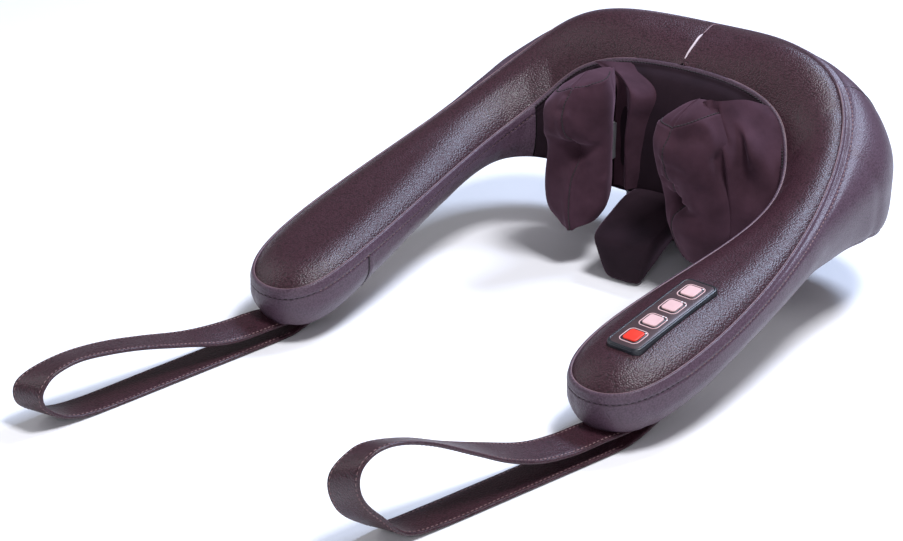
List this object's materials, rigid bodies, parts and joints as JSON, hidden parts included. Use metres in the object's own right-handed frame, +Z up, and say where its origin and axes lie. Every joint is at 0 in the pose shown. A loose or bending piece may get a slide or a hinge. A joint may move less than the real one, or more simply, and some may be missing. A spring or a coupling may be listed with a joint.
{
  "type": "shiatsu neck massager",
  "caption": "U-shaped padded collar that rests on the shoulders, with two motor-driven kneading claws at the nape, a key panel on one arm and a hand loop on each arm.",
  "frame": {"origin": "middle of the bounding box, on the surface that the object stands on", "axes": "+Z up, +Y towards the nape housing, -Y towards the arm tips and hand straps, +X towards the arm with the control panel"},
  "size_m": [0.372, 0.6, 0.1749],
  "materials": {
    "leather": "pebble-grain synthetic leather",
    "stretch_fabric": "matte stretch fabric",
    "foam": "polyurethane foam",
    "dark_plastic": "moulded, fine texture",
    "grey_plastic": "moulded nylon",
    "gloss_black": "gloss",
    "panel_film": "satin printed film",
    "key_red": "satin",
    "key_pale": "satin",
    "led_lens": "clear",
    "steel": "ground",
    "motor_can": "zinc plated",
    "brass": "machined",
    "silicone": "soft silicone",
    "rubber_foot": "matt",
    "circuit_board": "solder mask",
    "battery_wrap": "shrink film",
    "wire_sleeve": "braided sleeve",
    "heater_metal": "anodised"
  },
  "bodies": {
    "root": {"top_cover_left": "leather", "top_cover_right": "leather", "back_band": "leather", "outer_band_left": "leather", "outer_band_right": "leather", "inner_band_left": "leather", "inner_band_right": "leather", "bottom_cover_left": "leather", "bottom_cover_right": "leather", "bottom_cover_back": "leather", "strap_anchors": "leather", "inner_wall_fabric": "stretch_fabric", "nape_tab": "stretch_fabric", "arm_foam": "foam", "arm_under_foam": "foam", "tip_foam": "foam", "nape_foam": "foam", "nape_under_foam": "foam", "housing_upper": "dark_plastic", "housing_lower": "dark_plastic", "base_housing": "dark_plastic", "arm_frame_upper": "dark_plastic", "arm_frame_lower": "dark_plastic", "gearbox_case": "grey_plastic", "bearing_blocks": "grey_plastic", "guide_slots": "grey_plastic", "panel_bezel": "gloss_black", "panel_face": "panel_film", "status_leds": "led_lens", "base_screws": "steel", "drive_motor": "motor_can", "worm_bush": "brass", "shaft_bearings": "brass", "base_feet": "rubber_foot", "control_board": "circuit_board", "dome_switches": "brass", "battery_pack": "battery_wrap", "wiring_loom": "wire_sleeve", "charging_inlet": "gloss_black"},
    "shaft": {"drive_shaft": "steel", "worm_wheel": "grey_plastic", "swash_hubs": "grey_plastic"},
    "worm": {"worm": "brass", "motor_shaft": "steel"},
    "knead_left": {"kneading_arm_left": "grey_plastic", "hub_bearing_left": "steel", "kneading_heads_left": "silicone", "heater_discs_left": "heater_metal", "claw_cover_left": "stretch_fabric"},
    "strap_left": {"hand_strap_left": "leather"},
    "knead_right": {"kneading_arm_right": "grey_plastic", "hub_bearing_right": "steel", "kneading_heads_right": "silicone", "heater_discs_right": "heater_metal", "claw_cover_right": "stretch_fabric"},
    "strap_right": {"hand_strap_right": "leather"},
    "key_power": {"key_power": "key_red"},
    "key_mode": {"key_mode": "key_pale"},
    "key_speed": {"key_speed": "key_pale"},
    "key_heat": {"key_heat": "key_pale"}
  },
  "joints": [
    {"name": "shaft_spin", "type": "hinge", "parent": "root", "child": "shaft", "pos_m": [0, 0.238, 0.09], "axis": [1, 0, 0], "continuous": true},
    {"name": "worm_spin", "type": "hinge", "parent": "root", "child": "worm", "pos_m": [0, 0.26275, 0.09], "axis": [0, 0, 1], "continuous": true},
    {"name": "knead_left", "type": "hinge", "parent": "shaft", "child": "knead_left", "pos_m": [-0.05, 0.238, 0.09], "axis": [0.9988, 0.048, 0], "continuous": true},
    {"name": "knead_right", "type": "hinge", "parent": "shaft", "child": "knead_right", "pos_m": [0.05, 0.238, 0.09], "axis": [0.9988, -0.048, 0], "continuous": true},
    {"name": "press_power", "type": "slide", "parent": "root", "child": "key_power", "axis": [0.0179, 0.1934, -0.981], "range_m": [0, 0.0006], "stiffness_N_per_m": 1500},
    {"name": "press_mode", "type": "slide", "parent": "root", "child": "key_mode", "axis": [0.0179, 0.1934, -0.981], "range_m": [0, 0.0006], "stiffness_N_per_m": 1500},
    {"name": "press_speed", "type": "slide", "parent": "root", "child": "key_speed", "axis": [0.0179, 0.1934, -0.981], "range_m": [0, 0.0006], "stiffness_N_per_m": 1500},
    {"name": "press_heat", "type": "slide", "parent": "root", "child": "key_heat", "axis": [0.0179, 0.1934, -0.981], "range_m": [0, 0.0006], "stiffness_N_per_m": 1500},
    {"name": "strap_bend_left", "type": "hinge", "parent": "root", "child": "strap_left", "pos_m": [-0.145, -0.068, 0.0024], "axis": [0.9932, -0.1167, 0], "range_deg": [0, 70]},
    {"name": "strap_bend_right", "type": "hinge", "parent": "root", "child": "strap_right", "pos_m": [0.1436, -0.068, 0.0024], "axis": [0.9816, -0.1908, 0], "range_deg": [0, 70]}
  ],
  "couplings": [
    {"joint": "worm_spin", "follows": "shaft_spin", "ratio": -30},
    {"joint": "knead_left", "follows": "shaft_spin", "ratio": -1},
    {"joint": "knead_right", "follows": "shaft_spin", "ratio": -1}
  ]
}
